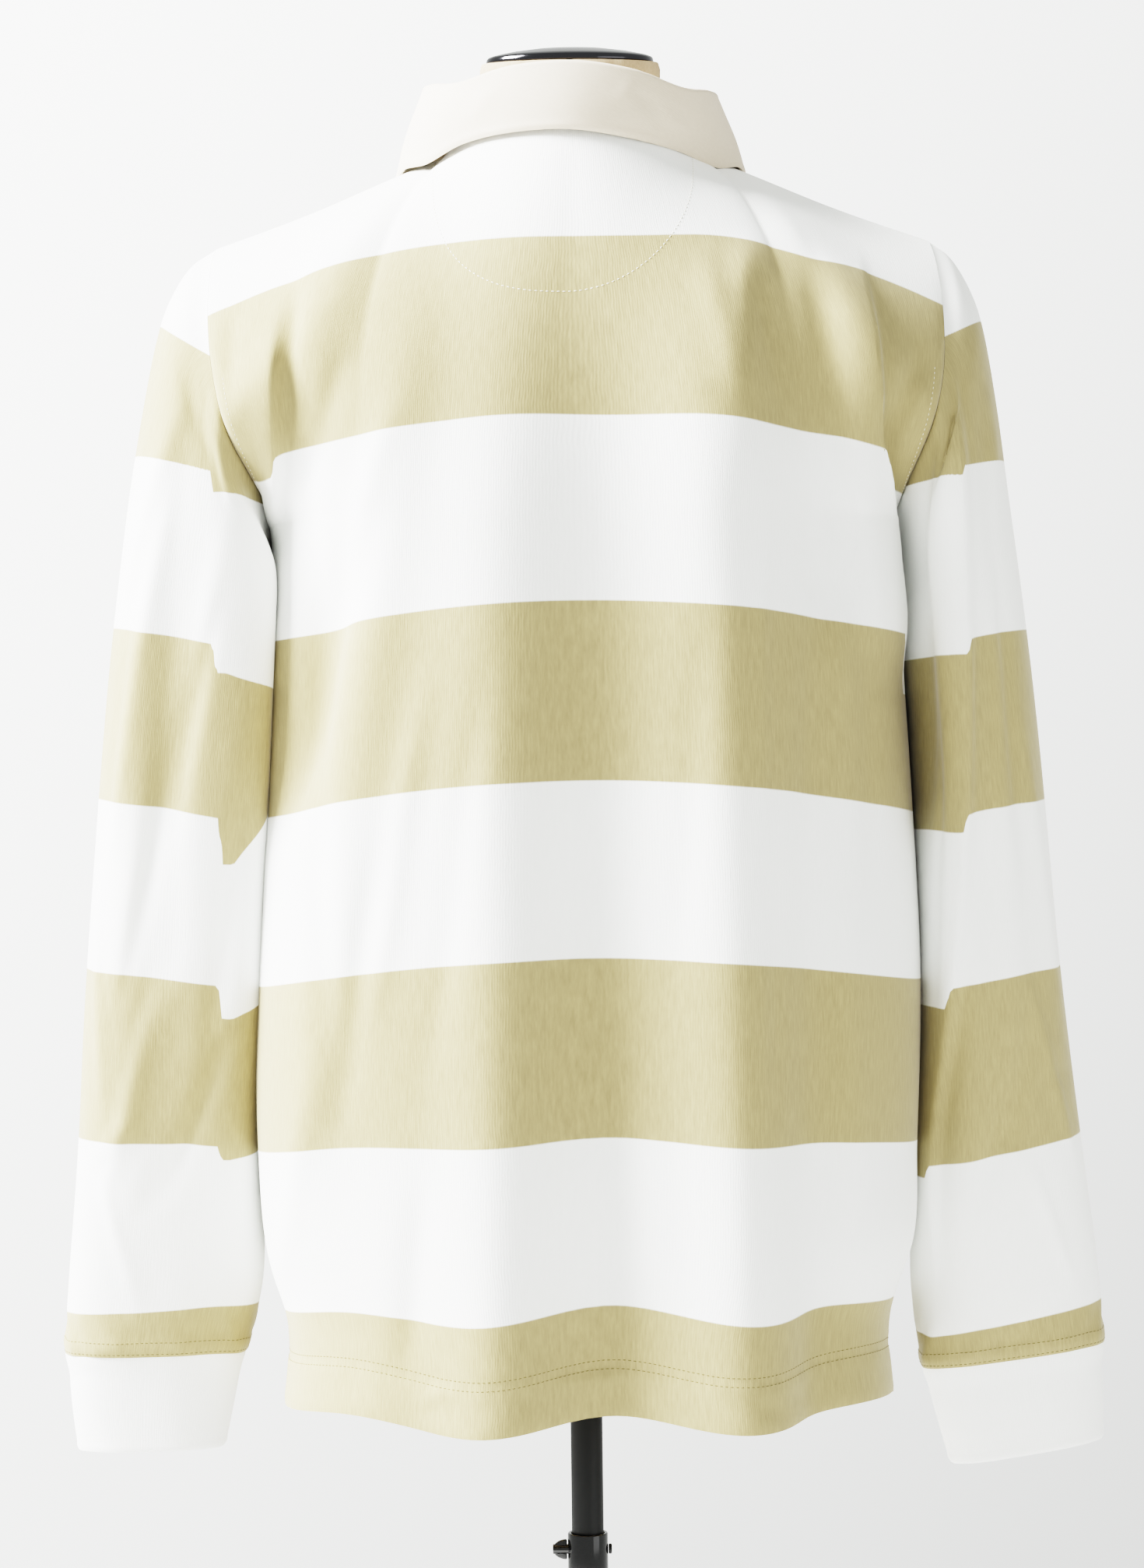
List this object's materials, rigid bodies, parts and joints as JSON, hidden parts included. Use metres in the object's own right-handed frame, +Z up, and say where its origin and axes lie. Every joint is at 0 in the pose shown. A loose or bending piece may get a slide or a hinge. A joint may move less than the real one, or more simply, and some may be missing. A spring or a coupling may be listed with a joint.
{
  "type": "long-sleeve polo shirt on a dress form",
  "caption": "Striped long-sleeve polo shirt with a folded twill collar, half placket and plain cuffs, on a limbless dress form with a height-adjustable post and a round foot.",
  "frame": {"origin": "on the floor, under the middle of the round foot and of the post", "axes": "+Z up; the shirt's back faces -Y and its front +Y, so the wearer's right side is at +X"},
  "size_m": [0.626, 0.38, 1.5712],
  "materials": {
    "jersey": "cotton jersey with wide level stripes of pale olive green and off-white, matt",
    "jersey_white": "off-white cotton jersey, matt",
    "twill": "pale pinkish grey cotton twill, matt",
    "button": "off-white, softly glossy",
    "linen": "natural linen cover, matt",
    "chrome": "polished",
    "black_metal": "black, satin",
    "black_gloss": "black, glossy"
  },
  "bodies": {
    "stand": {"base_plate": "black_metal", "base_boss": "black_metal", "outer_tube": "black_metal", "clamp_sleeve": "black_gloss", "clamp_rivet": "black_metal"},
    "mast": {"post": "black_metal"},
    "figure": {"form_torso": "linen", "neck_cap": "chrome", "form_socket": "black_metal", "back_panel": "jersey", "front_panel": "jersey", "sleeve_left": "jersey", "sleeve_right": "jersey", "cuff_left": "jersey_white", "cuff_right": "jersey_white", "collar": "twill", "placket_top": "twill", "placket_under": "twill", "button_1": "button", "button_2": "button", "button_3": "button"},
    "clamp_screw": {"wing_screw": "black_gloss"}
  },
  "joints": [
    {"name": "height_slide", "type": "slide", "parent": "stand", "child": "mast", "axis": [0, 0, 1], "range_m": [-0.07, 0.25]},
    {"name": "form_turn", "type": "hinge", "parent": "mast", "child": "figure", "pos_m": [0, 0, 0.78], "axis": [0, 0, 1], "continuous": true},
    {"name": "screw_turn", "type": "hinge", "parent": "stand", "child": "clamp_screw", "pos_m": [0, 0, 0.673], "axis": [1, 0, 0], "continuous": true}
  ]
}
